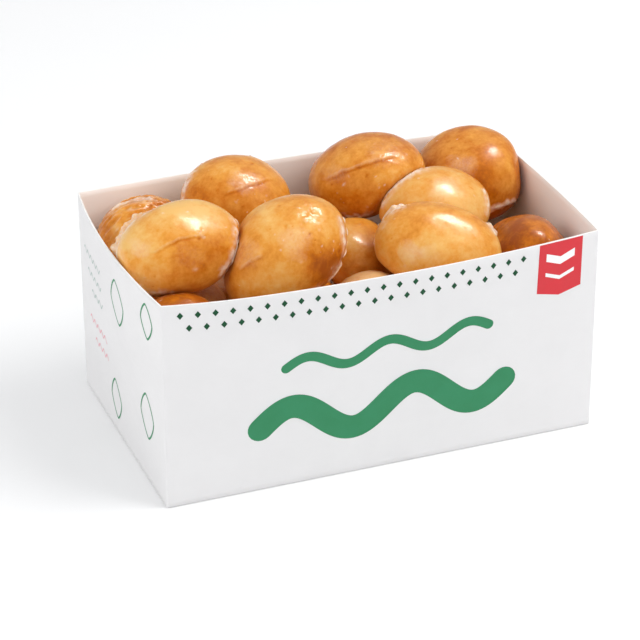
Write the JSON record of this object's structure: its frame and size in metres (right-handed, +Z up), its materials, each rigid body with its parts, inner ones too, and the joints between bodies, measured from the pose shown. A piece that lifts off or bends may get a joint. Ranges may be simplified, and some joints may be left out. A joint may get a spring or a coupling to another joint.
{
  "type": "box of doughnuts",
  "caption": "Open paperboard tray with bowed walls and a plain printed front, heaped with small round glazed doughnuts.",
  "frame": {"origin": "the middle of the tray's base between its folds, on the surface that it stands on", "axes": "+X along the long printed front from its left end to its right end, -Y out of that front, +Z up"},
  "size_m": [0.1855, 0.118, 0.1049],
  "materials": {
    "board": "coated white outside with a matt printed design, plain and warmer inside",
    "crust": "golden fried dough under a thin clear sugar glaze"
  },
  "bodies": {
    "root": {"tray": "board", "doughnut_top_1": "crust", "doughnut_top_2": "crust", "doughnut_top_3": "crust", "doughnut_top_4": "crust", "doughnut_top_5": "crust", "doughnut_top_6": "crust", "doughnut_top_7": "crust", "doughnut_top_8": "crust", "doughnut_middle_1": "crust", "doughnut_middle_2": "crust", "doughnut_middle_3": "crust", "doughnut_middle_4": "crust", "doughnut_under_1": "crust", "doughnut_under_2": "crust", "doughnut_under_3": "crust", "doughnut_under_4": "crust", "doughnut_bottom_1": "crust", "doughnut_bottom_2": "crust", "doughnut_bottom_3": "crust", "doughnut_bottom_4": "crust", "doughnut_bottom_5": "crust", "doughnut_bottom_6": "crust", "doughnut_bottom_7": "crust", "doughnut_bottom_8": "crust"}
  },
  "joints": []
}
